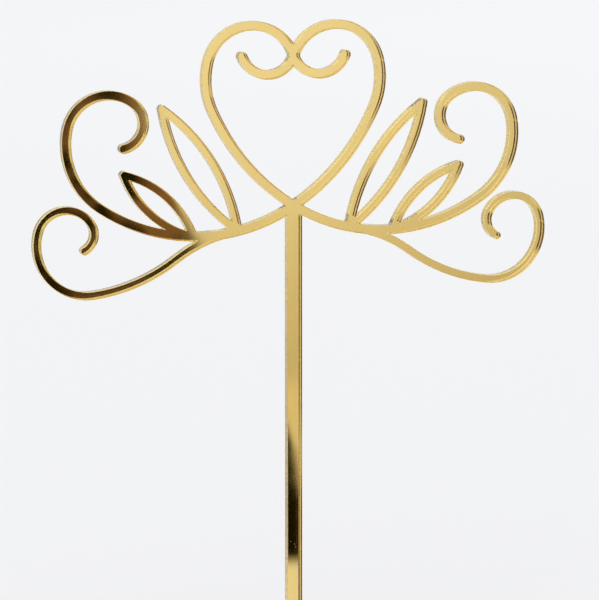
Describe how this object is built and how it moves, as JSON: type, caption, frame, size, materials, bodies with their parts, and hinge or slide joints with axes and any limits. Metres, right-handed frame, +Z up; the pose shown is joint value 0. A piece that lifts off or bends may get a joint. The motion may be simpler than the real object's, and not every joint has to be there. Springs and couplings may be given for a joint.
{
  "type": "cake topper",
  "caption": "Flat cake topper in gold mirrored acrylic: an open heart flourish with scrolls and leaves on a pointed stick that is pushed into a cake.",
  "frame": {"origin": "the stick's tip, on the stick's centreline, in the middle of the sheet's thickness", "axes": "+Z up along the stick, -Y out of the mirror front, +Y out of the lacquered back, +X to the right seen from the front"},
  "size_m": [0.1462, 0.003, 0.1807],
  "materials": {
    "amber_acrylic": "clear amber acrylic, polished faces, flame-glossy laser-cut edges with fine upright striations",
    "mirror_film": "bright metal film seen through the acrylic",
    "backing_lacquer": "satin grey protective lacquer"
  },
  "bodies": {
    "root": {"acrylic_sheet": "amber_acrylic", "mirror_film": "mirror_film", "backing_lacquer": "backing_lacquer"}
  },
  "joints": []
}
